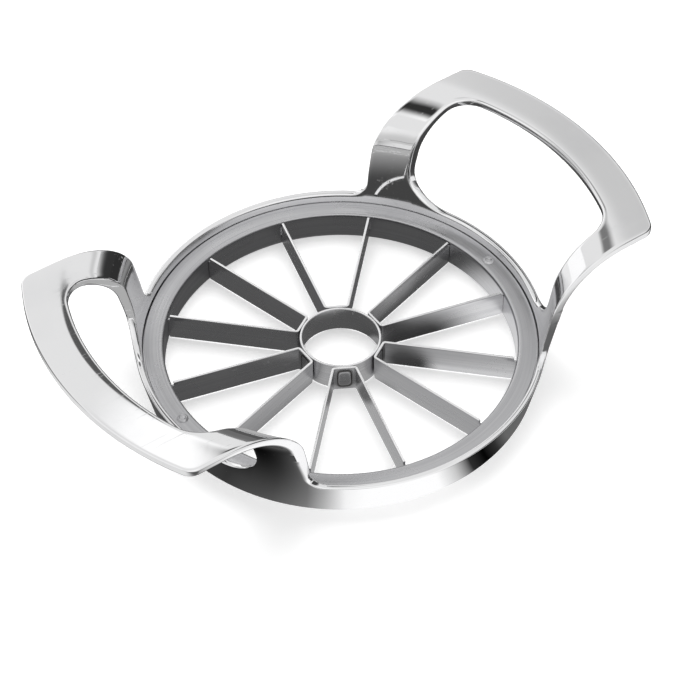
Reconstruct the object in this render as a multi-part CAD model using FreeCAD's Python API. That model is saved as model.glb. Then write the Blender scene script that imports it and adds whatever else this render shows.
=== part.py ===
import FreeCAD, Part
import math
import os
from FreeCAD import Vector

# Apple slicer and corer: a cast ring with two raised loop handles, a slotted blade ring,
# a core tube and six folded blade strips that make twelve cutting blades.
# Millimetres, +Z up. The origin is the middle of the ring, on the surface it stands on.
# +X runs along the line of the two handles.

# Cast ring
foot_outer_r = 55.7        # outer radius where the ring meets the table
foot_width = 1.45
foot_chamfer = 0.3
inner_lean = 9.2           # lean of the wall's inner face away from upright, degrees
rim_z = 11.6               # top of the rim between the handles
edge_break = 0.6           # bevel of the rim's inner edge and of the handles' upper edges

# Inner shoulder that carries the blade ring
shoulder_thick = 2.4
shoulder_gap = 0.6         # from the blade ring's skirt to the shoulder

# Loop handles
handle_top_z = 42.1        # top face of the handle plate
plate = 2.5                # thickness of the handle plate
bend_r = 17.5              # main bend of the top face, from the wall up
soft_bend_r = 29.0         # softer bend that ends level
soft_bend_turn = 11.5      # degrees turned by the softer bend
handle_reach = 30.6        # from the foot's outer radius to the grip bar's outer edge
grip_width = 11.6          # radial width of the grip bar
bar_chamfer = 0.7          # along the grip bar's lower outer edge
handle_half_width = 42.2
arm_width = 9.4
handle_corner_r = 4.2
root_turn_r = 6.0          # plan curve that turns the arm's side across the wall
root_turn_gap = 1.6        # from the wall, at rim height, to where that curve begins
root_blend_r = 4.0         # hollow between the arm's side and the rim

# Finger window in each handle
window_corner_r = 9.6
window_foot_r = 12.0       # rounding of the window's lower corners

# Blade ring
ledge_z = 8.9              # top of the flange that lies on the shoulder
ring_sheet = 1.0
flange_width = 5.5
skirt_foot_z = 0.4
ring_fold = 0.7            # bevel along the fold between flange and skirt
ring_gap = 0.12            # play between the flange and the cast wall

# Blades
blade_top_z = 9.0
blade_foot_z = 0.3
blade_thick = 0.7
edge_thick = 0.12          # what is left of the blade at its cutting edge
edge_height = 2.2          # height of the ground bevel
strip_count = 6
leg_spread = 15.0          # angle of each leg from the middle of its strip, degrees
fold_r = 1.1               # outside of the fold between base and leg
leg_notch = 1.5            # length cut from the leg's top corner, over its tab
leg_end_gap = 0.15         # from the leg's shoulder to the skirt
tab_foot_z = 2.9
tab_reach = 0.4            # how far a tab stands out behind the skirt
tab_play = 0.12            # play of a tab in its slot

# Core tube
tube_outer_r = 11.6
tube_wall = 0.8

# Rivets
rivet_inset = 1.3          # from the shoulder's inner edge to the rivet's middle
rivet_shank_r = 0.9
rivet_play = 0.1
rivet_head_r = 1.6
rivet_head_height = 0.5
rivet_crown_r = 1.1        # flat top of the head
rivet_tail_r = 1.5
rivet_tail_height = 0.7
rivet_dimple_r = 0.5
rivet_dimple_deep = 0.2

# Worked-out angles, heights and radii
upright = math.radians(90.0)
inner_slope = math.radians(inner_lean)
soft_turn = math.radians(soft_bend_turn)
shoulder_z = ledge_z - ring_sheet
channel_roof_z = shoulder_z - shoulder_thick
handle_outer_r = foot_outer_r + handle_reach
window_outer_r = handle_outer_r - grip_width
window_half_width = handle_half_width - arm_width
tab_top_z = shoulder_z - 2 * tab_play
beyond = 2 * handle_outer_r                    # larger than anything to be cut
tiny = 0.01                                    # slack when an edge is found by its place
sharp = math.radians(25.0)                     # faces that meet at more than this make an edge
full_turn = 360.0
axis_z = Vector(0, 0, 1)
origin = Vector(0, 0, 0)


def line(a, b):
    return Part.makeLine(a, b)


def arc(a, middle, b):
    return Part.Arc(a, middle, b).toShape()


def section(r, z):
    return Vector(r, 0, z)


def revolved(edges):
    face = Part.Face(Part.Wire(edges))
    return face.revolve(origin, axis_z, full_turn)


def outlined(points):
    return revolved([line(p, q) for p, q in zip(points, points[1:] + points[:1])])


def turned(shape, degrees):
    copy = shape.copy()
    copy.rotate(origin, axis_z, degrees)
    return copy


def inner_wall_r(z):
    return foot_outer_r - foot_width + z * math.tan(inner_slope)


# The flare: its top face leaves the wall, turns through bend_r, then more softly, and ends level.
soft_drop = soft_bend_r * (1 - math.cos(soft_turn))
main_drop = bend_r * (math.cos(soft_turn) - math.sin(inner_slope))
bend_start_z = handle_top_z - soft_drop - main_drop
bend_start = section(inner_wall_r(bend_start_z), bend_start_z)
bend_centre = bend_start + section(bend_r * math.cos(inner_slope), -bend_r * math.sin(inner_slope))
soft_lean = upright - soft_turn
soft_centre = bend_centre + section((soft_bend_r - bend_r) * math.sin(soft_turn),
                                    (bend_r - soft_bend_r) * math.cos(soft_turn))

# The wall's outer face runs from the foot and touches the underside of the bend.
under_bend_r = bend_r - plate
under_soft_r = soft_bend_r - plate
foot_to_centre = bend_centre - section(foot_outer_r, 0)
outer_slope = (math.acos(under_bend_r / foot_to_centre.Length)
               - math.atan2(foot_to_centre.z, foot_to_centre.x))


def outer_wall_r(z):
    return foot_outer_r + z * math.tan(outer_slope)


# Sizes that follow from the walls
skirt_inner_r = inner_wall_r(shoulder_z) - ring_gap - flange_width
skirt_outer_r = skirt_inner_r + ring_sheet
shoulder_inner_r = skirt_outer_r + shoulder_gap
rivet_r = shoulder_inner_r + rivet_inset
leg_end_r = skirt_inner_r - leg_end_gap
leg_top_end_r = skirt_inner_r - leg_notch
root_turn_x = math.sqrt(outer_wall_r(rim_z) ** 2 - handle_half_width ** 2) + root_turn_gap


def round_bend(centre, radius, lean):
    return centre + section(-radius * math.cos(lean), radius * math.sin(lean))


def bend_arc(centre, radius, lean_a, lean_b):
    return arc(round_bend(centre, radius, lean_a), round_bend(centre, radius, (lean_a + lean_b) / 2),
               round_bend(centre, radius, lean_b))


def frame_section():
    # Foot, shoulder, wall and flare in one outline, walked round once.
    points = [
        section(foot_outer_r - foot_chamfer, 0),
        section(inner_wall_r(0) + foot_chamfer, 0),
        section(inner_wall_r(foot_chamfer), foot_chamfer),
        section(inner_wall_r(channel_roof_z), channel_roof_z),
        section(shoulder_inner_r, channel_roof_z),
        section(shoulder_inner_r, shoulder_z),
        section(inner_wall_r(shoulder_z), shoulder_z),
        bend_start,
    ]
    edges = [line(p, q) for p, q in zip(points, points[1:])]
    level_top = round_bend(soft_centre, soft_bend_r, upright)
    bar_top = section(handle_outer_r, handle_top_z)
    bar_side = section(handle_outer_r, handle_top_z - plate + bar_chamfer)
    bar_under = section(handle_outer_r - bar_chamfer, handle_top_z - plate)
    level_under = round_bend(soft_centre, under_soft_r, upright)
    under_start = round_bend(bend_centre, under_bend_r, outer_slope)
    foot_outer = section(outer_wall_r(foot_chamfer), foot_chamfer)
    return edges + [
        bend_arc(bend_centre, bend_r, inner_slope, soft_lean),
        bend_arc(soft_centre, soft_bend_r, soft_lean, upright),
        line(level_top, bar_top),
        line(bar_top, bar_side),
        line(bar_side, bar_under),
        line(bar_under, level_under),
        bend_arc(soft_centre, under_soft_r, upright, soft_lean),
        bend_arc(bend_centre, under_bend_r, soft_lean, outer_slope),
        line(under_start, foot_outer),
        line(foot_outer, points[0]),
    ]


def plan_prism(edges, z0, z1):
    wire = Part.Wire(edges)
    wire.translate(Vector(0, 0, z0))
    return Part.Face(wire).extrude(Vector(0, 0, z1 - z0))


def rounded_corner(corner_r, half_width, outer_r):
    # Circle that touches the straight side and, from inside, the outer arc.
    y = half_width - corner_r
    x = math.sqrt((outer_r - corner_r) ** 2 - y ** 2)
    heading = math.atan2(y, x)
    middle = (heading + upright) / 2
    side_end = Vector(x, half_width, 0)
    mid = Vector(x + corner_r * math.cos(middle), y + corner_r * math.sin(middle), 0)
    arc_end = Vector(outer_r * math.cos(heading), outer_r * math.sin(heading), 0)
    return side_end, mid, arc_end


def mirrored_y(v):
    return Vector(v.x, -v.y, v.z)


def handle_side_tool():
    # Everything beside the +X handle and above the rim, on the +Y side.
    turn_y = handle_half_width - root_turn_r
    turn_start = Vector(root_turn_x, handle_half_width, 0)
    turn_mid_angle = math.radians(135.0)
    turn_mid = Vector(root_turn_x + root_turn_r * math.cos(turn_mid_angle),
                      turn_y + root_turn_r * math.sin(turn_mid_angle), 0)
    turn_end = Vector(root_turn_x - root_turn_r, turn_y, 0)
    inside = Vector(0, turn_y, 0)
    back = Vector(0, beyond, 0)
    corner = Vector(beyond, beyond, 0)
    right = Vector(beyond, handle_half_width, 0)
    tool = plan_prism([
        line(right, turn_start),
        arc(turn_start, turn_mid, turn_end),
        line(turn_end, inside),
        line(inside, back),
        line(back, corner),
        line(corner, right),
    ], rim_z, beyond)
    blended = [e for e in tool.Edges
               if e.BoundBox.ZMax < rim_z + tiny
               and e.BoundBox.YMax < handle_half_width + tiny
               and e.BoundBox.XMax > root_turn_x - root_turn_r + tiny]
    return tool.makeFillet(root_blend_r, blended)


def window_tool():
    side_end, mid, arc_end = rounded_corner(window_corner_r, window_half_width, window_outer_r)
    near = Vector(0, window_half_width, 0)
    outer_mid = Vector(window_outer_r, 0, 0)
    plan = plan_prism([
        line(mirrored_y(near), mirrored_y(side_end)),
        arc(mirrored_y(side_end), mirrored_y(mid), mirrored_y(arc_end)),
        arc(mirrored_y(arc_end), outer_mid, arc_end),
        arc(arc_end, mid, side_end),
        line(side_end, near),
        line(near, mirrored_y(near)),
    ], rim_z, beyond)
    front = Part.makeBox(beyond, 2 * window_half_width, beyond,
                         Vector(0, -window_half_width, rim_z))
    foot_edges = [e for e in front.Edges
                  if e.BoundBox.ZMax < rim_z + tiny and e.BoundBox.XLength > beyond / 2]
    front = front.makeFillet(window_foot_r, foot_edges)
    return plan.common(front)


def corner_tool():
    # What lies outside the rounded outer corner of a grip bar, on the +Y side.
    side_end, mid, arc_end = rounded_corner(handle_corner_r, handle_half_width, handle_outer_r)
    outside = Vector(beyond, handle_half_width, 0)
    far = Vector(beyond, arc_end.y, 0)
    return plan_prism([
        line(outside, side_end),
        arc(side_end, mid, arc_end),
        line(arc_end, far),
        line(far, outside),
    ], rim_z, beyond)


def rivet_places():
    return [Vector(side * rivet_r, 0, 0) for side in (1, -1)]


def is_free_edge(edge, frame):
    # Edges of the rim, the arms, the grip bars and the windows.
    if edge.BoundBox.ZMax < rim_z - tiny or edge.Length < tiny:
        return False
    faces = frame.ancestorsOfType(edge, Part.Face)
    if len(faces) != 2:
        return False
    mid = edge.valueAt((edge.FirstParameter + edge.LastParameter) / 2)
    normals = []
    for face in faces:
        u, v = face.Surface.parameter(mid)
        normals.append(face.normalAt(u, v))
    return normals[0].getAngle(normals[1]) > sharp


def on_upper_face(edge):
    # True on the inner face of the wall and the upper face of the flare and the plate.
    mid = edge.valueAt((edge.FirstParameter + edge.LastParameter) / 2)
    here = section(math.hypot(mid.x, mid.y), mid.z)
    if here.z < bend_start_z:
        return here.x < (inner_wall_r(here.z) + outer_wall_r(here.z)) / 2
    if here.x < bend_centre.x:
        return here.distanceToPoint(bend_centre) > bend_r - plate / 2
    return here.z > handle_top_z - plate / 2


def make_frame():
    frame = revolved(frame_section())
    side = handle_side_tool()
    corner = corner_tool()
    window = window_tool()
    mirror = Vector(0, 1, 0)
    quarter = [side, side.mirror(origin, mirror), corner, corner.mirror(origin, mirror)]
    half = quarter + [window]
    tools = half + [turned(tool, 180.0) for tool in half]
    frame = frame.cut(tools)
    frame = frame.removeSplitter()
    broken = [e for e in frame.Edges if is_free_edge(e, frame) and on_upper_face(e)]
    frame = frame.makeChamfer(edge_break, broken)
    holes = [Part.makeCylinder(rivet_shank_r + rivet_play, 2 * shoulder_thick,
                               place + Vector(0, 0, channel_roof_z - shoulder_thick / 2))
             for place in rivet_places()]
    return frame.cut(holes)


def leg_heading(strip, side):
    return strip * full_turn / strip_count + side * leg_spread


def all_headings():
    return [leg_heading(strip, side) for strip in range(strip_count) for side in (-1, 1)]


def make_blade_ring():
    flange_outer_r = inner_wall_r(shoulder_z) - ring_gap
    outline = [
        section(skirt_inner_r, skirt_foot_z),
        section(skirt_inner_r, ledge_z - ring_fold),
        section(skirt_inner_r + ring_fold, ledge_z),
        section(flange_outer_r, ledge_z),
        section(flange_outer_r, shoulder_z),
        section(skirt_outer_r, shoulder_z),
        section(skirt_outer_r, skirt_foot_z),
    ]
    ring = outlined(outline)
    slot_width = blade_thick + 2 * tab_play
    slot = Part.makeBox(4 * ring_sheet, slot_width, shoulder_z - tab_foot_z,
                        Vector(skirt_inner_r - ring_sheet, -slot_width / 2, tab_foot_z - tab_play))
    slots = [turned(slot, heading) for heading in all_headings()]
    holes = [Part.makeCylinder(rivet_shank_r + rivet_play, 3 * ring_sheet,
                               place + Vector(0, 0, shoulder_z - ring_sheet))
             for place in rivet_places()]
    return ring.cut(slots + holes)


def strip_wire(z, thick):
    # Closed outline of a folded strip of the given thickness, centred on its own sheet.
    spread = math.radians(leg_spread)
    base_x = tube_outer_r + blade_thick / 2
    half = thick / 2
    fold_mid = (upright + spread) / 2
    centre_r = fold_r - blade_thick / 2        # fold radius of the sheet's middle
    along = Vector(math.cos(spread), math.sin(spread), 0)
    across = Vector(-math.sin(spread), math.cos(spread), 0)
    corner = Vector(base_x, base_x * math.tan(spread), 0)
    # The fold's centre lies inside the strip, centre_r from the base and from the leg.
    run = centre_r * math.tan((upright - spread) / 2)
    centre = Vector(base_x + centre_r, corner.y - run, 0)
    end = along * leg_end_r

    def offset_points(shift):
        r = centre_r + shift
        base_point = centre + Vector(-r, 0, 0)
        leg_point = centre + across * r
        bisector = (Vector(-1, 0, 0) + across).normalize()
        fold_point = centre + bisector * r
        leg_end = end + across * shift
        return base_point, fold_point, leg_point, leg_end

    outer = offset_points(half)
    inner = offset_points(-half)
    lift = Vector(0, 0, z)
    outer = [p + lift for p in outer]
    inner = [p + lift for p in inner]
    edges = [
        line(mirrored_y(outer[0]), outer[0]),
        arc(outer[0], outer[1], outer[2]),
        line(outer[2], outer[3]),
        line(outer[3], inner[3]),
        line(inner[3], inner[2]),
        arc(inner[2], inner[1], inner[0]),
        line(inner[0], mirrored_y(inner[0])),
        arc(mirrored_y(inner[0]), mirrored_y(inner[1]), mirrored_y(inner[2])),
        line(mirrored_y(inner[2]), mirrored_y(inner[3])),
        line(mirrored_y(inner[3]), mirrored_y(outer[3])),
        line(mirrored_y(outer[3]), mirrored_y(outer[2])),
        arc(mirrored_y(outer[2]), mirrored_y(outer[1]), mirrored_y(outer[0])),
    ]
    return Part.Wire(edges)


def leg_box(x0, x1, z0, z1, width, side):
    box = Part.makeBox(x1 - x0, width, z1 - z0, Vector(x0, -width / 2, z0))
    return turned(box, side * leg_spread)


def make_strip():
    bevel_top_z = blade_foot_z + edge_height
    body = Part.Face(strip_wire(bevel_top_z, blade_thick)).extrude(
        Vector(0, 0, blade_top_z - bevel_top_z))
    bevel = Part.makeLoft([strip_wire(blade_foot_z, edge_thick),
                           strip_wire(bevel_top_z, blade_thick)], True, True)
    strip = body.fuse(bevel)
    tabs = []
    notches = []
    for side in (-1, 1):
        tabs.append(leg_box(leg_end_r - ring_sheet, skirt_outer_r + tab_reach,
                            tab_foot_z, tab_top_z, blade_thick, side))
        notches.append(leg_box(leg_top_end_r, skirt_inner_r, tab_top_z, beyond,
                               4 * blade_thick, side))
    return strip.fuse(tabs).cut(notches).removeSplitter()


def make_tube():
    inner_r = tube_outer_r - tube_wall
    return outlined([
        section(inner_r, blade_top_z),
        section(tube_outer_r, blade_top_z),
        section(tube_outer_r, blade_foot_z),
        section(tube_outer_r - edge_thick, blade_foot_z),
        section(inner_r, blade_foot_z + edge_height),
    ])


def make_rivet():
    # Low conical head with a dimple above the flange, upset tail under the shoulder.
    head_z = ledge_z + rivet_head_height
    tail_z = channel_roof_z - rivet_tail_height
    outline = [
        section(0, head_z - rivet_dimple_deep),
        section(rivet_dimple_r, head_z),
        section(rivet_crown_r, head_z),
        section(rivet_head_r, ledge_z),
        section(rivet_shank_r, ledge_z),
        section(rivet_shank_r, channel_roof_z),
        section(rivet_tail_r, channel_roof_z),
        section(rivet_shank_r, tail_z),
        section(0, tail_z),
    ]
    return outlined(outline)


def export(shape, node):
    shape.exportStep("parts/" + node + ".step")
    print(node, "solids", len(shape.Solids), "valid", shape.isValid(), "volume", round(shape.Volume, 1))


def main():
    os.makedirs("parts", exist_ok=True)
    export(make_frame(), "handle_frame")
    export(make_blade_ring(), "blade_ring")
    export(make_tube(), "core_tube")
    strip = make_strip()
    for index in range(strip_count):
        heading = index * full_turn / strip_count
        export(turned(strip, heading), "blade_strip_" + str(index + 1))
    rivet = make_rivet()
    rivets = [rivet.translated(place) for place in rivet_places()]
    export(Part.makeCompound(rivets), "ring_rivets")


main()
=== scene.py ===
import bpy
import math
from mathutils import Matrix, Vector


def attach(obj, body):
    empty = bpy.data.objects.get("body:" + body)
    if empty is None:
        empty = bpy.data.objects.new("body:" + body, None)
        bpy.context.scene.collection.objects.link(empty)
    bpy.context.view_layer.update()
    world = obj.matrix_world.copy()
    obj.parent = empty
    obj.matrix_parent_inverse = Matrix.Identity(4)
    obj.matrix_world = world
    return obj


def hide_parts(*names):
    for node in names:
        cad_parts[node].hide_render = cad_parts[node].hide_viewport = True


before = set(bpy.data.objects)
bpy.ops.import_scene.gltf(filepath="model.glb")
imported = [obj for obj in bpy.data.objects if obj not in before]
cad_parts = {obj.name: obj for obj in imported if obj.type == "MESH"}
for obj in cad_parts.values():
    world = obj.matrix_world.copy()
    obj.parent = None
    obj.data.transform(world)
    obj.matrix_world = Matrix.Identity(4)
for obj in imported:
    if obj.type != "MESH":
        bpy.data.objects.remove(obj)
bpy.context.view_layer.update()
mm = 0.001


# the photograph's view of the tool
view = {
    "spot": (-252.8, -359.0, 472.6),     # mm, in the part's own frame
    "heading": -35.5,                    # degrees from +Y, positive towards -X
    "dip": 46.9,                         # degrees below level
    "focal": 116.4,                      # mm
    "sensor": 36,                        # mm
}

# how meshes are joined and smoothed, in metres and degrees; turned pieces have their own gap and angle
meshing = {"mergeGap": 0.00001, "turnedGap": 0.00003, "sharp": 50, "smooth": 30, "turnedSmooth": 35}


def deselectAll():
    if bpy.context.object and bpy.context.object.mode != "OBJECT":
        bpy.ops.object.mode_set(mode="OBJECT")
    bpy.ops.object.select_all(action="DESELECT")


def pickOnly(piece):
    deselectAll()
    piece.select_set(True)
    bpy.context.view_layer.objects.active = piece


def nameIt(piece, name):
    piece.name = name
    piece.data.name = name


def twinOf(first, name):
    twin = first.copy()
    twin.data = first.data.copy()
    bpy.context.scene.collection.objects.link(twin)
    nameIt(twin, name)
    return twin


def closeSeams(gap):
    # in edit mode: joins points that meet and turns every face outward
    bpy.ops.mesh.select_all(action="SELECT")
    bpy.ops.mesh.remove_doubles(threshold=gap)
    bpy.ops.mesh.normals_make_consistent(inside=False)
    bpy.ops.object.mode_set(mode="OBJECT")


def mirrorOver(piece, axes):
    pickOnly(piece)
    mirror = piece.modifiers.new("otherSide", "MIRROR")
    mirror.use_axis = axes
    mirror.merge_threshold = meshing["mergeGap"]
    bpy.ops.object.modifier_apply(modifier="otherSide")
    bpy.ops.object.mode_set(mode="EDIT")
    closeSeams(meshing["mergeGap"])


def roundEdges(piece, width, segments, wanted):
    # bevels the sharp edges whose two ends are wanted, and smooths the piece
    mesh = piece.data
    weights = mesh.attributes.new("bevel_weight_edge", "FLOAT", "EDGE")
    normals = {}
    for polygon in mesh.polygons:
        for key in polygon.edge_keys:
            normals.setdefault(key, []).append(polygon.normal)
    sharp = math.radians(meshing["sharp"])
    for edge in mesh.edges:
        sides = normals.get(tuple(sorted(edge.vertices)), ())
        ends = [mesh.vertices[v].co for v in edge.vertices]
        if len(sides) == 2 and wanted(*ends) and sides[0].angle(sides[1]) > sharp:
            weights.data[edge.index].value = 1.0
    rounding = piece.modifiers.new("rounding", "BEVEL")
    rounding.limit_method = "WEIGHT"
    rounding.width = width * mm
    rounding.segments = segments
    rounding.use_clamp_overlap = False
    pickOnly(piece)
    bpy.ops.object.modifier_apply(modifier="rounding")
    bpy.ops.object.shade_smooth_by_angle(angle=math.radians(meshing["smooth"]))


def makeCamera():
    heading = math.radians(view["heading"])
    dip = math.radians(view["dip"])
    look = Vector((-math.sin(heading) * math.cos(dip), math.cos(heading) * math.cos(dip), -math.sin(dip)))
    deselectAll()
    bpy.ops.object.camera_add(location=Vector(view["spot"]) * mm)
    camera = bpy.context.object
    camera.rotation_euler = look.to_track_quat("-Z", "Y").to_euler()
    camera.data.lens = view["focal"]
    camera.data.sensor_width = view["sensor"]
    bpy.context.scene.camera = camera
    print("camera set")


# small helpers for shader nodes
def newMaterial(name):
    material = bpy.data.materials.new(name)
    material.use_nodes = True
    return material, material.node_tree, material.node_tree.nodes["Principled BSDF"]


def objectPlace(tree):
    return tree.nodes.new("ShaderNodeTexCoord").outputs["Object"]


def feed(tree, socket, value):
    if isinstance(value, bpy.types.NodeSocket):
        tree.links.new(value, socket)
    else:
        socket.default_value = value


def mathNode(tree, operation, first, second=0):
    node = tree.nodes.new("ShaderNodeMath")
    node.operation = operation
    feed(tree, node.inputs[0], first)
    feed(tree, node.inputs[1], second)
    return node.outputs[0]


def vectorNode(tree, operation, first, second=(0.0, 0.0, 0.0)):
    node = tree.nodes.new("ShaderNodeVectorMath")
    node.operation = operation
    feed(tree, node.inputs[0], first)
    feed(tree, node.inputs[1], second)
    return node.outputs["Value" if operation in ("DOT_PRODUCT", "LENGTH") else "Vector"]


def softStep(tree, value, start, end):
    node = tree.nodes.new("ShaderNodeMapRange")
    node.interpolation_type = "SMOOTHSTEP"
    node.inputs["From Min"].default_value = start
    node.inputs["From Max"].default_value = end
    tree.links.new(value, node.inputs["Value"])
    return node.outputs["Result"]


def mixValue(tree, factor, first, second):
    node = tree.nodes.new("ShaderNodeMix")
    tree.links.new(factor, node.inputs["Factor"])
    feed(tree, node.inputs[2], first)
    feed(tree, node.inputs[3], second)
    return node.outputs[0]


# Casting: foot, shoulder, leaning wall and the two loop handles. One quarter is laid as rows of
# points on the cast sheet's two faces, then mirrored, and its rims are rounded by a bevel.
# Sizes in mm; "upper" is the face seen from above and inside, "under" the one seen from outside.
casting = {
    "footOuter": 55.7, "footWidth": 1.45, "footBreak": 0.3, "innerLean": 9.2,
    "rim": 11.6, "top": 42.1, "plate": 2.5, "bend": 17.5, "softBend": 29.0, "softTurn": 11.5,
    "reach": 86.3, "halfWidth": 42.2, "cornerRound": 4.2,
    "windowReach": 74.7, "windowHalf": 32.8, "windowRound": 9.6, "windowFoot": 12.0,
    "turnMiddle": 41.46, "turnRound": 6.0, "rootBlend": 4.0,
    "shoulderInner": 51.51, "shoulderTop": 7.9, "shoulderFoot": 5.5,
    "edgeRound": 0.7, "edgeSteps": 5, "edgeSlack": 0.1,
    "gripRows": 26, "cornerRows": 12, "armRows": 34, "rootRows": 6,
    "innerRows": (9.7,), "outerRows": (4.0, 8.0),
    "armColumns": 8, "windowColumns": 14, "archColumns": 7, "rimColumns": 26,
}


def castingFaces():
    # where the wall, the main bend and the softer bend above it lie, for each of the sheet's two faces
    c = casting
    softTurn, innerLean = math.radians(c["softTurn"]), math.radians(c["innerLean"])
    softDrop = c["softBend"] * (1 - math.cos(softTurn))
    mainDrop = c["bend"] * (math.cos(softTurn) - math.sin(innerLean))
    bendStart = c["top"] - softDrop - mainDrop
    footInner = c["footOuter"] - c["footWidth"]
    bendX = footInner + bendStart * math.tan(innerLean) + c["bend"] * math.cos(innerLean)
    bendZ = bendStart - c["bend"] * math.sin(innerLean)
    softX = bendX + (c["softBend"] - c["bend"]) * math.sin(softTurn)
    softZ = bendZ - (c["softBend"] - c["bend"]) * math.cos(softTurn)
    away = math.hypot(bendX - c["footOuter"], bendZ)
    outerLean = math.acos((c["bend"] - c["plate"]) / away) - math.atan2(bendZ, bendX - c["footOuter"])
    softLean = math.pi / 2 - softTurn
    shared = {"bendX": bendX, "bendZ": bendZ, "softX": softX, "softZ": softZ, "softLean": softLean}
    upper = {**shared, "foot": footInner, "lean": innerLean, "bend": c["bend"], "soft": c["softBend"]}
    under = {**shared, "foot": c["footOuter"], "lean": outerLean,
             "bend": c["bend"] - c["plate"], "soft": c["softBend"] - c["plate"]}
    for face in (upper, under):
        face["wallEnd"] = face["bendZ"] + face["bend"] * math.sin(face["lean"])
        face["bendEnd"] = face["wallEnd"] + face["bend"] * (face["softLean"] - face["lean"])
        face["softEnd"] = face["bendEnd"] + face["soft"] * softTurn
    return upper, under


def profile(face, station):
    # radius and height at a station: the height on the wall, then the distance on round the bends and out
    if station <= face["wallEnd"]:
        return face["foot"] + station * math.tan(face["lean"]), station
    if station <= face["bendEnd"]:
        lean = face["lean"] + (station - face["wallEnd"]) / face["bend"]
        return face["bendX"] - face["bend"] * math.cos(lean), face["bendZ"] + face["bend"] * math.sin(lean)
    if station <= face["softEnd"]:
        lean = face["softLean"] + (station - face["bendEnd"]) / face["soft"]
        return face["softX"] - face["soft"] * math.cos(lean), face["softZ"] + face["soft"] * math.sin(lean)
    return face["softX"] + station - face["softEnd"], face["softZ"] + face["soft"]


def stationAt(face, radius):
    # the reverse: where on the face a radius lies
    if radius >= face["softX"]:
        return face["softEnd"] + radius - face["softX"]
    lean = math.acos((face["softX"] - radius) / face["soft"])
    if lean >= face["softLean"]:
        return face["bendEnd"] + face["soft"] * (lean - face["softLean"])
    lean = math.acos(min(1, (face["bendX"] - radius) / face["bend"]))
    if lean >= face["lean"]:
        return face["wallEnd"] + face["bend"] * (lean - face["lean"])
    return (radius - face["foot"]) / math.tan(face["lean"])


def onFace(face, station, y):
    radius, height = profile(face, station)
    return Vector((math.sqrt(radius ** 2 - y ** 2), y, height))


def sideY(face, station, offset):
    # half width of the arm at a station: straight above, then in along an arc; the offset widens that arc
    c = casting
    radius = profile(face, station)[0]
    middleY = c["halfWidth"] - c["turnRound"]
    reach = c["turnRound"] + offset
    if offset == 0 and math.sqrt(radius ** 2 - c["halfWidth"] ** 2) >= c["turnMiddle"]:
        return c["halfWidth"]
    apart = math.hypot(c["turnMiddle"], middleY)
    along = (radius ** 2 - reach ** 2 + apart ** 2) / (2 * apart)
    aside = math.sqrt(radius ** 2 - along ** 2)
    return (along * middleY + aside * c["turnMiddle"]) / apart


def steps(count):
    return [k / count for k in range(1, count + 1)]


def windowArch(turn):
    # (station, y) on the window's rounded lower corner, from its side (0) to the rim (a quarter turn)
    c = casting
    return (c["rim"] + c["windowFoot"] * (1 - math.sin(turn)),
            c["windowHalf"] - c["windowFoot"] * (1 - math.cos(turn)))


def rootArch(face, turn):
    # (station, y) in the hollow between the arm's side (0) and the rim (a quarter turn)
    c = casting
    height = c["rim"] + c["rootBlend"] * (1 - math.sin(turn))
    return height, sideY(face, height, c["rootBlend"] * (1 - math.cos(turn)))


def loopRows(face):
    # (station, y) of the inner and the outer end of each row across the handle, from the middle of the
    # grip down to half way round the two arches at the arm's root
    c = casting

    def corner(half, reach, rounding):
        # middle of a corner's rounding, and the heading at which it starts
        y = half - rounding
        x = math.sqrt((reach - rounding) ** 2 - y ** 2)
        return x, y, math.atan2(y, x)

    def onCorner(x, y, start, rounding, share):
        turn = start + (math.pi / 2 - start) * share
        spot = (x + rounding * math.cos(turn), y + rounding * math.sin(turn))
        return stationAt(face, math.hypot(*spot)), spot[1]

    window = corner(c["windowHalf"], c["windowReach"], c["windowRound"])
    grip = corner(c["halfWidth"], c["reach"], c["cornerRound"])
    rows = []
    for t in [0] + steps(c["gripRows"]):
        inner = (stationAt(face, c["windowReach"]), c["windowReach"] * math.sin(window[2] * t))
        outer = (stationAt(face, c["reach"]), c["reach"] * math.sin(grip[2] * t))
        rows.append((inner, outer))
    for t in steps(c["cornerRows"]):
        rows.append((onCorner(*window, c["windowRound"], t), onCorner(*grip, c["cornerRound"], t)))
    (innerStart, _), (outerStart, _) = rows[-1]
    innerEnd = windowArch(0)[0]
    outerEnd = rootArch(face, 0)[0]
    for t in steps(c["armRows"]):
        inner = innerStart + (innerEnd - innerStart) * t
        outer = outerStart + (outerEnd - outerStart) * t
        rows.append(((inner, c["windowHalf"]), (outer, sideY(face, outer, 0))))
    for t in steps(c["rootRows"]):
        turn = math.pi / 4 * t
        rows.append((windowArch(turn), rootArch(face, turn)))
    return rows


def handleGrid(face):
    grid = []
    across = [0] + steps(casting["armColumns"])
    for (s0, y0), (s1, y1) in loopRows(face):
        grid.append([onFace(face, s0 + (s1 - s0) * w, y0 + (y1 - y0) * w) for w in across])
    return grid


def rimPoints(face, foot):
    # points along the rim: from the handle's middle plane up the window's arch, over the arm's last row
    # (foot), down the hollow behind it, and on to the middle of the rim between the handles
    c = casting
    half = windowArch(math.pi / 2)[1]
    before = [onFace(face, c["rim"], half * k / c["windowColumns"]) for k in range(c["windowColumns"])]
    for k in range(c["archColumns"]):
        before.append(onFace(face, *windowArch(math.pi / 2 - math.pi / 4 * k / c["archColumns"])))
    after = [onFace(face, *rootArch(face, math.pi / 4 * (1 + t))) for t in steps(c["archColumns"])]
    last = math.atan2(after[-1].y, after[-1].x)
    radius = profile(face, c["rim"])[0]
    for t in steps(c["rimColumns"]):
        turn = last + (math.pi / 2 - last) * t
        after.append(Vector((radius * math.cos(turn), radius * math.sin(turn), c["rim"])))
    return before + foot + after


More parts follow.
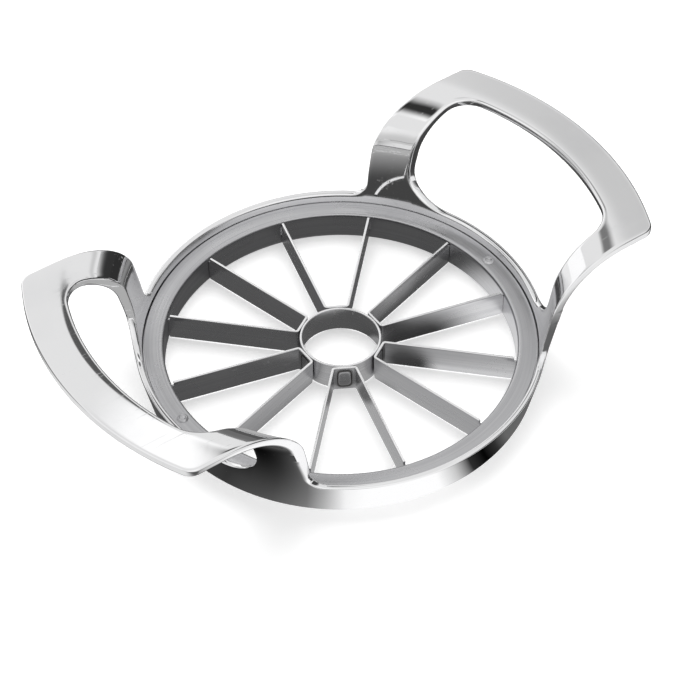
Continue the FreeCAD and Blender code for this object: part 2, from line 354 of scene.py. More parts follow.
def castingQuarter():
    # points and faces of one quarter, open where the mirrors close it
    c = casting
    upper, under = castingFaces()
    points, quads = [], []

    def lay(grid):
        first = len(points)
        width = len(grid[0])
        for row in grid:
            points.extend(row)
        for i in range(len(grid) - 1):
            for j in range(width - 1):
                a = first + i * width + j
                quads.append((a, a + 1, a + width + 1, a + width))

    gridUpper, gridUnder = handleGrid(upper), handleGrid(under)
    lay(gridUpper)
    lay(gridUnder)
    for side in (0, -1):
        lay([[row[side], other[side]] for row, other in zip(gridUpper, gridUnder)])
    rimUpper, rimUnder = rimPoints(upper, gridUpper[-1]), rimPoints(under, gridUnder[-1])
    first = c["windowColumns"] + c["archColumns"]
    last = first + c["armColumns"]
    lay(list(zip(rimUpper[:first + 1], rimUnder[:first + 1])))
    lay(list(zip(rimUpper[last:], rimUnder[last:])))
    innerRows = (*c["innerRows"], c["shoulderTop"])
    inside = [(profile(upper, z)[0], z) for z in innerRows]
    inside += [(c["shoulderInner"], c["shoulderTop"]), (c["shoulderInner"], c["shoulderFoot"])]
    inside += [(profile(upper, z)[0], z) for z in (c["shoulderFoot"], c["footBreak"])]
    inside += [(upper["foot"] + c["footBreak"], 0)]
    outside = [(under["foot"] - c["footBreak"], 0)]
    outside += [(profile(under, z)[0], z) for z in (c["footBreak"], *c["outerRows"])]

    def around(point, places):
        turn = math.atan2(point.y, point.x)
        cosine, sine = math.cos(turn), math.sin(turn)
        return [Vector((radius * cosine, radius * sine, height)) for radius, height in places]

    lay([[a, *around(a, inside), *around(b, outside), b] for a, b in zip(rimUpper, rimUnder)])
    return points, quads


def makeCasting():
    points, quads = castingQuarter()
    mesh = bpy.data.meshes.new("castFrame")
    mesh.from_pydata([p * mm for p in points], [], quads)
    piece = bpy.data.objects.new("castFrame", mesh)
    bpy.context.scene.collection.objects.link(piece)
    mirrorOver(piece, (True, True, False))
    lowest = (casting["rim"] - casting["edgeSlack"]) * mm
    roundEdges(piece, casting["edgeRound"], casting["edgeSteps"], lambda a, b: min(a.z, b.z) > lowest)
    return piece


def arcSection(centre, radius, start, end, count):
    # points of a round stretch of a section, angles in degrees from the +radius direction
    turns = [math.radians(start + (end - start) * k / count) for k in range(count + 1)]
    return [(centre[0] + radius * math.cos(a), centre[1] + radius * math.sin(a)) for a in turns]


def turnedPiece(name, section, segments):
    # a circle drawn out round a closed section of (radius, height) points
    deselectAll()
    radius, height = section[0]
    bpy.ops.mesh.primitive_circle_add(vertices=segments, radius=radius * mm, location=(0, 0, height * mm))
    piece = bpy.context.object
    nameIt(piece, name)
    bpy.ops.object.transform_apply(location=True)
    bpy.ops.object.mode_set(mode="EDIT")
    bpy.ops.mesh.select_all(action="SELECT")
    for (r0, z0), (r1, z1) in zip(section, section[1:] + section[:1]):
        bpy.ops.mesh.extrude_region()
        bpy.ops.transform.resize(value=(r1 / r0, r1 / r0, 1), center_override=(0, 0, 0))
        bpy.ops.transform.translate(value=(0, 0, (z1 - z0) * mm))
    closeSeams(meshing["turnedGap"])
    bpy.ops.object.shade_smooth_by_angle(angle=math.radians(meshing["turnedSmooth"]))
    return piece


# Blade ring: pressed sheet with a flange on the shoulder and a slotted skirt
bladeRing = {
    "skirtInner": 49.91, "sheet": 1.0, "flangeOuter": 55.41, "top": 8.9, "foot": 0.4,
    "foldRound": 1.1, "foldSteps": 8, "lip": 0.15, "lipSteps": 3, "segments": 240,
    "slotFoot": 2.78, "slotTop": 7.9, "slotWidth": 0.94, "slotDeep": 4.0,
}


def makeBladeRing():
    c = bladeRing
    inner, outer, lip, fold = c["skirtInner"], c["skirtInner"] + c["sheet"], c["lip"], c["foldRound"]
    under = c["top"] - c["sheet"]
    section = arcSection((inner + fold, c["top"] - fold), fold, 180, 90, c["foldSteps"])
    section += arcSection((c["flangeOuter"] - lip, c["top"] - lip), lip, 90, 0, c["lipSteps"])
    section += [(c["flangeOuter"], under), (outer, under), (outer, c["foot"] + lip)]
    section += [(outer - lip, c["foot"]), (inner + lip, c["foot"]), (inner, c["foot"] + lip)]
    ring = turnedPiece("pressedRing", section, c["segments"])
    cutAway(ring, makeSlots())
    return ring


def makeSlots():
    # one block through the skirt at each leg of the strips, joined to one cutter
    c = bladeRing
    deselectAll()
    blocks = []
    legs = 2 * strip["count"]
    reach = c["skirtInner"]
    middle = (c["slotTop"] + c["slotFoot"]) / 2
    for number in range(legs):
        heading = math.radians(360 / legs * number + strip["spread"])
        spot = Vector((math.cos(heading) * reach, math.sin(heading) * reach, middle)) * mm
        bpy.ops.mesh.primitive_cube_add(size=1, location=spot, rotation=(0, 0, heading))
        block = bpy.context.object
        block.scale = Vector((c["slotDeep"], c["slotWidth"], c["slotTop"] - c["slotFoot"])) * mm
        blocks.append(block)
    for block in blocks:
        block.select_set(True)
    bpy.ops.object.join()
    return bpy.context.object


def cutAway(piece, cutter):
    cut = piece.modifiers.new("slots", "BOOLEAN")
    cut.operation = "DIFFERENCE"
    cut.solver = "EXACT"
    cut.object = cutter
    pickOnly(piece)
    bpy.ops.object.modifier_apply(modifier="slots")
    bpy.data.objects.remove(cutter)


# heights of the strips and the tube, and the lower edge that both are ground to
blade = {"top": 9.0, "foot": 0.3, "ground": 2.2, "edge": 0.12}

# Core tube: rolled rim on top, ground edge below
coreTube = {"outer": 11.6, "wall": 0.8, "rimRound": 0.34, "rimSteps": 5, "segments": 128}


def makeCoreTube():
    c = coreTube
    inner, outer, r = c["outer"] - c["wall"], c["outer"], c["rimRound"]
    section = arcSection((outer - r, blade["top"] - r), r, 0, 90, c["rimSteps"])
    section += arcSection((inner + r, blade["top"] - r), r, 90, 180, c["rimSteps"])
    section += [(inner, blade["foot"] + blade["ground"]), (outer - blade["edge"], blade["foot"])]
    section += [(outer, blade["foot"])]
    return turnedPiece("innerTube", section, c["segments"])


# Rivets: low head with a ring groove round a small centre dimple, on the ring; tail under the shoulder
rivet = {
    "place": 52.81, "head": 1.6, "headBreak": (0.12, 0.25), "crown": 1.15, "height": 0.5,
    "groove": 0.85, "grooveHalf": 0.15, "dimple": 0.35, "deep": 0.18,
    "shank": 0.9, "tail": 1.5, "tailBreak": (0.2, 0.15), "tailFoot": 4.8, "axis": 0.01, "segments": 48,
}


def makeRivets():
    c = rivet
    seat, roof = bladeRing["top"], casting["shoulderFoot"]
    crown = seat + c["height"]
    low = crown - c["deep"]
    section = [
        (c["axis"], low), (c["dimple"], crown), (c["groove"] - c["grooveHalf"], crown),
        (c["groove"], low), (c["groove"] + c["grooveHalf"], crown), (c["crown"], crown),
        (c["head"] - c["headBreak"][0], seat + c["headBreak"][1]), (c["head"], seat),
        (c["shank"], seat), (c["shank"], roof), (c["tail"], roof),
        (c["tail"] - c["tailBreak"][0], c["tailFoot"] + c["tailBreak"][1]),
        (c["shank"], c["tailFoot"]), (c["axis"], c["tailFoot"]),
    ]
    right = turnedPiece("ringRivet.right", section, c["segments"])
    left = twinOf(right, "ringRivet.left")
    for head, side in ((right, 1), (left, -1)):
        pickOnly(head)
        head.location = (side * c["place"] * mm, 0, 0)
        bpy.ops.object.transform_apply(location=True)
    return right, left


# Folded strip: base welded to the tube, two legs that are blades, tabs through the skirt
strip = {
    "count": 6, "thick": 0.7, "fold": 1.1, "foldSteps": 6, "spread": 15,
    "legEnd": 49.76, "topEnd": 49.3, "tabFoot": 2.9, "tabTop": 7.66, "tabEnd": 51.31,
    "rows": 40, "columns": 12, "edgeRound": 0.12, "edgeSteps": 2, "edgeSlack": 0.1, "pickSlack": 0.01,
    "weldHeight": 4.65, "weldHalf": (1.95, 3.1), "weldPower": 4, "weldDeep": 0.22, "weldWidth": 0.12,
    "weldReach": 2.6, "weldSlack": 0.05,
}


def foldedSheet():
    # half the strip as a plain sheet: half the base, the fold and one leg
    c = strip
    spread = math.radians(c["spread"])
    baseX = coreTube["outer"] + c["thick"] / 2
    foldRound = c["fold"] - c["thick"] / 2
    foldTurn = math.pi / 2 - spread
    half = baseX * math.tan(spread) - foldRound * math.tan(foldTurn / 2)
    tall = blade["top"] - blade["foot"]
    along = Vector((math.cos(spread), math.sin(spread), 0))
    deselectAll()
    middle = Vector((baseX, half / 2, blade["foot"] + tall / 2)) * mm
    bpy.ops.mesh.primitive_grid_add(x_subdivisions=c["rows"], y_subdivisions=c["columns"], size=1,
                                    location=middle, rotation=(0, math.pi / 2, 0))
    piece = bpy.context.object
    nameIt(piece, "foldedStrip.1")
    piece.scale = (tall * mm, half * mm, 1)
    bpy.ops.object.transform_apply(location=True, rotation=True, scale=True)
    bpy.ops.object.mode_set(mode="EDIT")
    for height in (blade["foot"] + blade["ground"], c["tabFoot"], c["tabTop"]):
        bpy.ops.mesh.select_all(action="SELECT")
        bpy.ops.mesh.bisect(plane_co=(0, 0, height * mm), plane_no=(0, 0, 1))
    bpy.ops.mesh.select_mode(type="VERT")
    selectVertices(piece, lambda co: co.y > (half - c["pickSlack"]) * mm)
    centre = Vector((baseX + foldRound, half, 0))
    bpy.ops.mesh.spin(steps=c["foldSteps"], angle=foldTurn, center=centre * mm, axis=(0, 0, 1))
    foldEnd = centre + Vector((-along.y, along.x, 0)) * foldRound
    reached = foldEnd.dot(along)
    for stop in (c["topEnd"], c["legEnd"], c["tabEnd"]):
        bpy.ops.mesh.extrude_region()
        bpy.ops.transform.translate(value=along * (stop - reached) * mm)
        reached = stop
    bpy.ops.object.mode_set(mode="OBJECT")
    return piece, along


def cutLegEnd(piece, along):
    # leaves the tab at the leg's outer end, with the notch above it
    c = strip
    deselectMesh(piece)
    for polygon in piece.data.polygons:
        out = polygon.center.dot(along) / mm
        up = polygon.center.z / mm
        notch = out > c["topEnd"] and up > c["tabTop"]
        polygon.select = notch or (out > c["legEnd"] and up < c["tabFoot"])
    bpy.ops.object.mode_set(mode="EDIT")
    bpy.ops.mesh.select_mode(type="FACE")
    bpy.ops.mesh.delete(type="FACE")
    bpy.ops.object.mode_set(mode="OBJECT")


def thicken(piece):
    # full thickness above, ground thin towards the lower edge
    thick = strip["thick"]
    metal = piece.vertex_groups.new(name="metal")
    for vertex in piece.data.vertices:
        metal.add([vertex.index], min(1, (vertex.co.z / mm - blade["foot"]) / blade["ground"]), "REPLACE")
    sheet = piece.modifiers.new("sheet", "SOLIDIFY")
    sheet.thickness = thick * mm
    sheet.offset = 0
    sheet.use_even_offset = True
    sheet.vertex_group = "metal"
    sheet.thickness_vertex_group = blade["edge"] / thick
    bpy.ops.object.modifier_apply(modifier="sheet")


def pressWeld(piece):
    # the weld's rounded square groove in the base, on the side away from the tube
    c = strip
    faceX = coreTube["outer"] + c["thick"]
    for vertex in piece.data.vertices:
        x, y, z = [part / mm for part in vertex.co]
        if abs(x - faceX) > c["weldSlack"] or abs(y) > c["weldReach"]:
            continue
        across = abs(y) / c["weldHalf"][0]
        up = abs(z - c["weldHeight"]) / c["weldHalf"][1]
        reach = (across ** c["weldPower"] + up ** c["weldPower"]) ** (1 / c["weldPower"])
        vertex.co.x -= c["weldDeep"] * mm * math.exp(-((reach - 1) / c["weldWidth"]) ** 2)


def selectVertices(piece, wanted):
    bpy.ops.object.mode_set(mode="OBJECT")
    deselectMesh(piece)
    for vertex in piece.data.vertices:
        vertex.select = wanted(vertex.co)
    bpy.ops.object.mode_set(mode="EDIT")


def deselectMesh(piece):
    for items in (piece.data.polygons, piece.data.edges, piece.data.vertices):
        for item in items:
            item.select = False


def makeStrips():
    c = strip
    first, along = foldedSheet()
    cutLegEnd(first, along)
    mirrorOver(first, (False, True, False))
    thicken(first)
    pressWeld(first)
    lowest = (c["tabTop"] - c["edgeSlack"]) * mm
    roundEdges(first, c["edgeRound"], c["edgeSteps"], lambda a, b: min(a.z, b.z) > lowest)
    strips = [first]
    for number in range(1, c["count"]):
        twin = twinOf(first, "foldedStrip." + str(number + 1))
        pickOnly(twin)
        twin.rotation_euler = (0, 0, math.radians(360 / c["count"] * number))
        bpy.ops.object.transform_apply(rotation=True)
        strips.append(twin)
    return strips


def newGroup(name, given, made):
    group = bpy.data.node_groups.new(name, "ShaderNodeTree")
    for label in given:
        group.interface.new_socket(label, in_out="INPUT", socket_type="NodeSocketVector")
    for label in made:
        group.interface.new_socket(label, in_out="OUTPUT", socket_type="NodeSocketFloat")
    return group, group.nodes.new("NodeGroupInput").outputs, group.nodes.new("NodeGroupOutput").inputs


def noiseOn(tree, place, scale, detail):
    noise = tree.nodes.new("ShaderNodeTexNoise")
    noise.inputs["Scale"].default_value = scale
    noise.inputs["Detail"].default_value = detail
    tree.links.new(place, noise.inputs["Vector"])
    return noise.outputs["Fac"]


# Drawn lines in sheet metal: fine and coarse lines, and slow clouds across them.
# Noises as scale and detail; "between" and "cloudBetween" are where a noise turns from none to full.
grainLook = {
    "fine": (1.0, 2), "coarse": (0.22, 1), "fineShare": 0.6, "coarseShare": 0.4, "between": (0.32, 0.68),
    "clouds": (55, 3), "cloudBetween": (0.35, 0.7), "along": 30.0, "bumpDeep": 0.02,
}


def makeGrainGroup():
    c = grainLook
    group, given, made = newGroup("drawnGrain", ("Place", "Stretched"), ("Lines", "Clouds"))
    fine = mathNode(group, "MULTIPLY", noiseOn(group, given["Stretched"], *c["fine"]), c["fineShare"])
    coarse = mathNode(group, "MULTIPLY", noiseOn(group, given["Stretched"], *c["coarse"]), c["coarseShare"])
    lines = mathNode(group, "ADD", fine, coarse)
    group.links.new(softStep(group, lines, *c["between"]), made["Lines"])
    clouds = noiseOn(group, given["Place"], *c["clouds"])
    group.links.new(softStep(group, clouds, *c["cloudBetween"]), made["Clouds"])
    return group


# What use leaves on a polished surface: wiped smears, fine scratches three ways, a faint ripple
useLook = {
    "smears": (38, 4), "smearBetween": (0.42, 0.72),
    "ways": (0.35, 1.5, 2.6), "tilt": (0.4, 0.2, 1.0), "stretch": (45, 1900, 900),
    "scratches": (1.0, 0), "scratchBetween": (0.76, 0.84), "ripple": (520, 2),
}


def makeHandlingGroup():
    c = useLook
    group, given, made = newGroup("handling", ("Place",), ("Smears", "Scratches", "Ripple"))
    place = given["Place"]
    smears = noiseOn(group, place, *c["smears"])
    group.links.new(softStep(group, smears, *c["smearBetween"]), made["Smears"])
    marks = None
    for way in c["ways"]:
        mapping = group.nodes.new("ShaderNodeMapping")
        mapping.inputs["Rotation"].default_value = [way * share for share in c["tilt"]]
        mapping.inputs["Scale"].default_value = c["stretch"]
        group.links.new(place, mapping.inputs["Vector"])
        noise = noiseOn(group, mapping.outputs["Vector"], *c["scratches"])
        line = softStep(group, noise, *c["scratchBetween"])
        marks = line if marks is None else mathNode(group, "MAXIMUM", marks, line)
    group.links.new(marks, made["Scratches"])
    group.links.new(noiseOn(group, place, *c["ripple"]), made["Ripple"])
    return group


def placed(tree, group, sockets):
    node = tree.nodes.new("ShaderNodeGroup")
    node.node_tree = group
    for label, value in sockets.items():
        tree.links.new(value, node.inputs[label])
    return node.outputs


def mixColour(tree, factor, first, second):
    node = tree.nodes.new("ShaderNodeMix")
    node.data_type = "RGBA"
    tree.links.new(factor, node.inputs["Factor"])
    for socket, value in zip((node.inputs[6], node.inputs[7]), (first, second)):
        feed(tree, socket, (*value, 1) if isinstance(value, tuple) else value)
    return node.outputs[2]


def bumped(tree, height, strength, deep):
    bump = tree.nodes.new("ShaderNodeBump")
    bump.inputs["Strength"].default_value = strength
    bump.inputs["Distance"].default_value = deep * mm
    tree.links.new(height, bump.inputs["Height"])
    return bump.outputs["Normal"]


# Chromed casting
chromeFinish = {"colour": (0.90, 0.90, 0.905), "dull": (0.84, 0.84, 0.85), "smooth": 0.045, "wiped": 0.10,
                "scratched": 0.20, "ripple": 0.10, "rippleDeep": 0.01}


def chromeMaterial(handling):
    c = chromeFinish
    material, tree, shader = newMaterial("castChrome")
    shader.inputs["Metallic"].default_value = 1
    use = placed(tree, handling, {"Place": objectPlace(tree)})
    colour = mixColour(tree, use["Smears"], c["colour"], c["dull"])
    tree.links.new(colour, shader.inputs["Base Color"])
    rough = mixValue(tree, use["Smears"], c["smooth"], c["wiped"])
    rough = mixValue(tree, use["Scratches"], rough, c["scratched"])
    tree.links.new(rough, shader.inputs["Roughness"])
    tree.links.new(bumped(tree, use["Ripple"], c["ripple"], c["rippleDeep"]), shader.inputs["Normal"])
    return material


# Sheet steel of the ring, the strips, the tube and the rivets: colour between and in the drawn lines,
# roughness from and to, whether the lines run round the ring or along the sheet, mm between them
sheetFinish = {
    "ringSheet": {"colour": (0.60, 0.60, 0.61), "inLines": (0.50, 0.50, 0.515), "rough": (0.24, 0.36),
                  "lines": "round", "apart": 0.12, "bump": 0.22},
    "stripSheet": {"colour": (0.70, 0.70, 0.71), "inLines": (0.60, 0.60, 0.615), "rough": (0.20, 0.32),
                   "lines": "along", "apart": 0.11, "bump": 0.20},
    "tubeSheet": {"colour": (0.70, 0.70, 0.71), "inLines": (0.60, 0.60, 0.61), "rough": (0.18, 0.30),
                  "lines": "along", "apart": 0.16, "bump": 0.16},
    "rivetMetal": {"colour": (0.66, 0.66, 0.67), "inLines": (0.55, 0.55, 0.56), "rough": (0.22, 0.36),
                   "lines": "round", "apart": 0.10, "bump": 0.20},
}

# top edges given a painted highlight, lighter between two heights; scratches rougher, and the burnt line of
# a weld
sheetMarksAndHighlight = {
    "on": ("stripSheet", "tubeSheet"), "from": 8.93, "to": 8.98, "colour": (0.96, 0.96, 0.965),
    "scratchRough": 0.1, "weldOn": "stripSheet", "weldColour": (0.16, 0.155, 0.15),
    "weldLine": (0.16, 0.05), "weldAway": (1.6, 1.2),
}


def axesOf(tree, place):
    parts = tree.nodes.new("ShaderNodeSeparateXYZ")
    tree.links.new(place, parts.inputs[0])
    return parts.outputs


def radiusAt(tree, place):
    return vectorNode(tree, "LENGTH", vectorNode(tree, "MULTIPLY", place, (1.0, 1.0, 0.0)))


def weldMask(tree, place):
    # the welds' rounded square grooves, one on every strip's base
    c = strip
    x, y, z = axesOf(tree, place)
    turn = mathNode(tree, "ARCTAN2", y, x)
    folded = mathNode(tree, "PINGPONG", turn, math.pi / c["count"])
    radius = radiusAt(tree, place)
    across = mathNode(tree, "MULTIPLY", radius, mathNode(tree, "SINE", folded))
    up = mathNode(tree, "ABSOLUTE", mathNode(tree, "SUBTRACT", z, c["weldHeight"] * mm))
    across = mathNode(tree, "DIVIDE", across, c["weldHalf"][0] * mm)
    up = mathNode(tree, "DIVIDE", up, c["weldHalf"][1] * mm)
    both = mathNode(tree, "ADD", mathNode(tree, "POWER", across, c["weldPower"]),
                    mathNode(tree, "POWER", up, c["weldPower"]))
    reach = mathNode(tree, "POWER", both, 1 / c["weldPower"])
    off = mathNode(tree, "ABSOLUTE", mathNode(tree, "SUBTRACT", reach, 1))
    start, end = [(coreTube["outer"] + away) * mm for away in sheetMarksAndHighlight["weldAway"]]
    return mathNode(tree, "MULTIPLY", softStep(tree, off, *sheetMarksAndHighlight["weldLine"]),
                    softStep(tree, radius, start, end))


def stretchedPlace(tree, place, lines, apart):
    # coordinates drawn out along the lines, for noise that makes lines
    perMetre = 1 / (apart * mm)
    along = grainLook["along"]
    if lines == "along":
        return vectorNode(tree, "MULTIPLY", place, (along, along, perMetre))
    x, y, z = axesOf(tree, place)
    combined = tree.nodes.new("ShaderNodeCombineXYZ")
    tree.links.new(mathNode(tree, "MULTIPLY", radiusAt(tree, place), perMetre), combined.inputs[0])
    tree.links.new(mathNode(tree, "MULTIPLY", x, along), combined.inputs[1])
    around = mathNode(tree, "MULTIPLY", y, along)
    upward = mathNode(tree, "MULTIPLY", z, perMetre)
    tree.links.new(mathNode(tree, "ADD", around, upward), combined.inputs[2])
    return combined.outputs[0]


def sheetMaterial(name, grain, handling):
    c = sheetFinish[name]
    material, tree, shader = newMaterial(name)
    shader.inputs["Metallic"].default_value = 1
    place = objectPlace(tree)
    stretched = stretchedPlace(tree, place, c["lines"], c["apart"])
    drawn = placed(tree, grain, {"Place": place, "Stretched": stretched})
    use = placed(tree, handling, {"Place": place})
    colour = mixColour(tree, drawn["Lines"], c["inLines"], c["colour"])
    # painted highlight: the strips' and tube's colour turns lighter in a thin band just under their top
    # edges
    if name in sheetMarksAndHighlight["on"]:
        paintedHighlight = softStep(tree, axesOf(tree, place)[2], sheetMarksAndHighlight["from"] * mm, sheetMarksAndHighlight["to"] * mm)
        colour = mixColour(tree, paintedHighlight, colour, sheetMarksAndHighlight["colour"])
    if name == sheetMarksAndHighlight["weldOn"]:
        colour = mixColour(tree, weldMask(tree, place), colour, sheetMarksAndHighlight["weldColour"])
    tree.links.new(colour, shader.inputs["Base Color"])
    rough = mixValue(tree, drawn["Clouds"], *c["rough"])
    rough = mixValue(tree, use["Scratches"], rough, c["rough"][1] + sheetMarksAndHighlight["scratchRough"])
    tree.links.new(rough, shader.inputs["Roughness"])
    tree.links.new(bumped(tree, drawn["Lines"], c["bump"], grainLook["bumpDeep"]), shader.inputs["Normal"])
    return material


# Studio: an even dome, a softbox close above, a card level with the blades and one round the foot.
# Mirrors see the dome's and the cards' pattern; everything else sees even light.
# Lobes: towards (azimuth, elevation), full within, gone beyond (degrees), brightness.
# Patches: centre, half lengths (mm), turn (degrees), softness, brightness.
dome = {
    "fill": 0.60,
    "bright": 0.86,
    "lobes": (
        ((-25, -5), 32, 52, 0.055),
        ((42, 2), 8, 34, 0.16),
        ((90, 8), 12, 40, 1.12),
        ((-110, 30), 15, 45, 1.0),
        ((158, 22), 14, 38, 0.95),
        ((-155, -4), 10, 28, 0.60),
        ((138, 8), 7, 17, 0.20),
        ((10, 0), 8, 20, 0.035),
        ((46, 32), 6, 13, 1.2),
    ),
}

softbox = {
    "height": 152,
    "low": (-150, -60),
    "high": (250, 230),
    "bright": 0.84,
    "patches": (
        ((165, 60), (26, 120), 0, 0.9, 0.62),
        ((-2, 104), (20, 21), 0, 0.10, 0.10),
        ((-5, 48), (50, 34), 0, 0.30, 1.15),
        ((14, 46), (34, 17), 33, 0.70, 0.03),
        ((104, 66), (17, 12), -52, 0.60, 0.20),
    ),
}

bladeCard = {
    "height": 8.85,
    "radius": 49.7,
    "segments": 96,
    "bright": 0.45,
    "patches": (
        ((41, 22), (26, 60), 28, 0.6, 0.06),
        ((-25, 45), (22, 16), 0, 0.5, 0.07),
        ((25, -14), (16, 14), 0, 0.4, 0.08),
    ),
}

footCard = {
    "height": 0.4,
    "half": 3200,
    "stops": (
        # degrees round from -X by way of -Y, brightness; the same on the other half turn
        (0, 0.06), (20, 0.045), (35, 0.15), (45, 0.30), (50, 0.62), (56, 1.1), (84, 1.1),
        (90, 0.65), (95.5, 0.03), (101, 0.0), (106, 0.03), (111, 0.14), (150, 0.12),
        (178, 0.06),
    ),
    "halfTurn": 180,
    "brightest": 1.1,
    "within": (49, 53),
    "insideBright": 0.12,
    "insideLobes": (
        ((-100, 0), 50, 80, 0.5),
        ((-22, 0), 15, 35, 1.0),
    ),
    "beyond": (78, 104),
    "outsideBright": 0.10,
    "outsideLobes": (
        ((-55, 0), 45, 75, 0.9),
        ((95, 0), 15, 35, 0.95),
        ((-178, 0), 22, 42, 0.80),
        ((10, 0), 20, 40, 0.03),
    ),
    "patches": (
        ((21, -7), (15, 9), -15, 0.6, 0.05),
        ((12, -15), (7, 6), 0, 0.5, 0.06),
        ((-8, -14), (4, 4), 0, 0.4, 0.16),
        ((-66, -32), (24, 11), -30, 0.9, 0.0),
    ),
}

# the floor's grey, and what it glows for the camera and mirrors; size in metres
floorLook = {"size": 6, "colour": (0.8, 0.8, 0.8, 1), "roughness": 0.9, "glow": 0.42}

# a lamp for the floor's shadow, aimed at the middle of the tool: metres and watts
overhead = {"spot": (0.25, 0.35, 0.9), "size": (0.8, 0.8), "power": 7}


def direction(azimuth, elevation):
    a, e = math.radians(azimuth), math.radians(elevation)
    return Vector((math.cos(e) * math.cos(a), math.cos(e) * math.sin(a), math.sin(e)))


def lobed(tree, towards, level, lobes):
    for spot, full, gone, value in lobes:
        facing = vectorNode(tree, "DOT_PRODUCT", towards, direction(*spot))
        mask = softStep(tree, facing, math.cos(math.radians(gone)), math.cos(math.radians(full)))
        level = mixValue(tree, mask, level, value)
    return level


def patched(tree, place, level, patches, height):
    for centre, half, turn, soft, value in patches:
        mapping = tree.nodes.new("ShaderNodeMapping")
        mapping.vector_type = "TEXTURE"
        mapping.inputs["Location"].default_value = Vector((*centre, height)) * mm
        mapping.inputs["Rotation"].default_value = (0, 0, math.radians(turn))
        mapping.inputs["Scale"].default_value = (half[0] * mm, half[1] * mm, 1)
        tree.links.new(place, mapping.inputs["Vector"])
        reach = vectorNode(tree, "LENGTH", mapping.outputs["Vector"])
        mask = softStep(tree, reach, 1 + soft, 1 - soft)
        level = mixValue(tree, mask, level, value)
    return level


def makeWorld():
    world = bpy.data.worlds.new("studio")
    bpy.context.scene.world = world
    world.use_nodes = True
    tree = world.node_tree
    towards = tree.nodes.new("ShaderNodeTexCoord").outputs["Generated"]
    mirrored = lobed(tree, towards, dome["bright"], dome["lobes"])
    glossy = tree.nodes.new("ShaderNodeLightPath").outputs["Is Glossy Ray"]
    background = tree.nodes["Background"]
    background.inputs["Color"].default_value = (1, 1, 1, 1)
    tree.links.new(mixValue(tree, glossy, dome["fill"], mirrored), background.inputs["Strength"])
    print("dome made")


def onlyInMirrors(card):
    card.visible_camera = False
    card.visible_diffuse = False
    card.visible_shadow = False
    card.visible_transmission = False
    card.visible_volume_scatter = False


def finishCard(card, name, settings, levelUnder):
    # levelUnder gives the glow under the card's patches
    nameIt(card, name)
    material, tree, shader = newMaterial(name + "Glow")
    tree.nodes.remove(shader)
    glow = tree.nodes.new("ShaderNodeEmission")
    tree.links.new(glow.outputs[0], tree.nodes["Material Output"].inputs["Surface"])
    place = objectPlace(tree)
    level = patched(tree, place, levelUnder(tree, place, settings), settings["patches"], settings["height"])
    tree.links.new(level, glow.inputs["Strength"])
    card.data.materials.append(material)
    onlyInMirrors(card)
    print(name, "made")


def evenLevel(tree, place, settings):
    return settings["bright"]


def makeSoftbox():
    low = Vector((*softbox["low"], softbox["height"])) * mm
    high = Vector((*softbox["high"], softbox["height"])) * mm
    deselectAll()
    bpy.ops.mesh.primitive_plane_add(size=1, location=(low + high) / 2)
    card = bpy.context.object
    card.scale = (high.x - low.x, high.y - low.y, 1)
    bpy.ops.object.transform_apply(location=True, scale=True)
    finishCard(card, "softbox", softbox, evenLevel)


def makeBladeCard():
    # lies just under the blades' tops, so that the handles mirror a soft shade instead of the blades
    c = bladeCard
    deselectAll()
    bpy.ops.mesh.primitive_circle_add(vertices=c["segments"], radius=c["radius"] * mm, fill_type="NGON",
                                      location=(0, 0, c["height"] * mm))
    card = bpy.context.object
    bpy.ops.object.transform_apply(location=True)
    finishCard(card, "bladeCard", c, evenLevel)


def makeFootCard():
    c = footCard
    deselectAll()
    bpy.ops.mesh.primitive_plane_add(size=2 * c["half"] * mm, location=(0, 0, c["height"] * mm))
    card = bpy.context.object
    bpy.ops.object.transform_apply(location=True)
    finishCard(card, "footCard", c, footLevel)


def footLevel(tree, place, settings):
    # lobes inside the ring and far out, and the stops all round in a band between them
    flat = vectorNode(tree, "NORMALIZE", place)
    inside = lobed(tree, flat, settings["insideBright"], settings["insideLobes"])
    outside = lobed(tree, flat, settings["outsideBright"], settings["outsideLobes"])
    reach = vectorNode(tree, "LENGTH", place)
    ringed = softStep(tree, reach, *[radius * mm for radius in settings["within"]])
    away = softStep(tree, reach, *[radius * mm for radius in settings["beyond"]])
    level = mixValue(tree, ringed, inside, bandLevel(tree, place, settings))
    return mixValue(tree, away, level, outside)


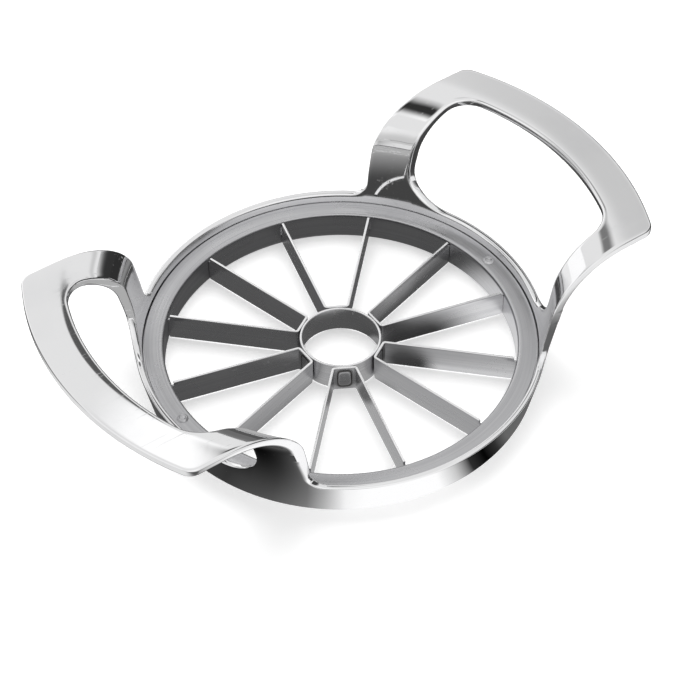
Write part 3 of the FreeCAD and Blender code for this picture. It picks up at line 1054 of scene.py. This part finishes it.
def bandLevel(tree, place, settings):
    turn = tree.nodes.new("ShaderNodeTexGradient")
    turn.gradient_type = "RADIAL"
    tree.links.new(place, turn.inputs["Vector"])
    twice = mathNode(tree, "MULTIPLY", turn.outputs["Fac"], 2)
    ramp = tree.nodes.new("ShaderNodeValToRGB")
    tree.links.new(mathNode(tree, "FRACT", twice), ramp.inputs["Fac"])
    elements = ramp.color_ramp.elements
    elements.remove(elements[1])
    for degrees, value in settings["stops"]:
        stop = elements.new(degrees / settings["halfTurn"]) if degrees else elements[0]
        grey = value / settings["brightest"]
        stop.color = (grey, grey, grey, 1)
    return mathNode(tree, "MULTIPLY", ramp.outputs["Color"], settings["brightest"])


def makeFloor():
    deselectAll()
    bpy.ops.mesh.primitive_plane_add(size=floorLook["size"], location=(0, 0, 0))
    floor = bpy.context.object
    floor.name = "floor"
    material, tree, shader = newMaterial("floorWhite")
    shader.inputs["Base Color"].default_value = floorLook["colour"]
    shader.inputs["Roughness"].default_value = floorLook["roughness"]
    shader.inputs["Emission Color"].default_value = (1, 1, 1, 1)
    path = tree.nodes.new("ShaderNodeLightPath").outputs
    seen = mathNode(tree, "MAXIMUM", path["Is Camera Ray"], path["Is Glossy Ray"])
    tree.links.new(mathNode(tree, "MULTIPLY", seen, floorLook["glow"]), shader.inputs["Emission Strength"])
    floor.data.materials.append(material)
    print("floor made")


def makeOverhead():
    spot = Vector(overhead["spot"])
    deselectAll()
    bpy.ops.object.light_add(type="AREA", location=spot)
    lamp = bpy.context.object
    lamp.name = "overhead"
    lamp.data.shape = "RECTANGLE"
    lamp.data.size, lamp.data.size_y = overhead["size"]
    lamp.data.energy = overhead["power"]
    lamp.rotation_euler = (-spot).to_track_quat("-Z", "Y").to_euler()
    lamp.visible_glossy = False
    print("lamp made")


def dress(piece, material, node):
    piece.data.materials.clear()
    piece.data.materials.append(material)
    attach(piece, "root")
    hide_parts(node)


grain = makeGrainGroup()
handling = makeHandlingGroup()
chrome = chromeMaterial(handling)
sheets = {name: sheetMaterial(name, grain, handling) for name in sheetFinish}
print("materials made")

dress(makeCasting(), chrome, "handle_frame")
print("casting made")
dress(makeBladeRing(), sheets["ringSheet"], "blade_ring")
print("ring made")
dress(makeCoreTube(), sheets["tubeSheet"], "core_tube")
for head in makeRivets():
    dress(head, sheets["rivetMetal"], "ring_rivets")
print("tube and rivets made")
for number, folded in enumerate(makeStrips()):
    dress(folded, sheets["stripSheet"], "blade_strip_" + str(number + 1))
print("strips made")

makeFloor()
makeWorld()
makeSoftbox()
makeBladeCard()
makeFootCard()
makeOverhead()
makeCamera()
bpy.context.scene.view_settings.view_transform = "Standard"
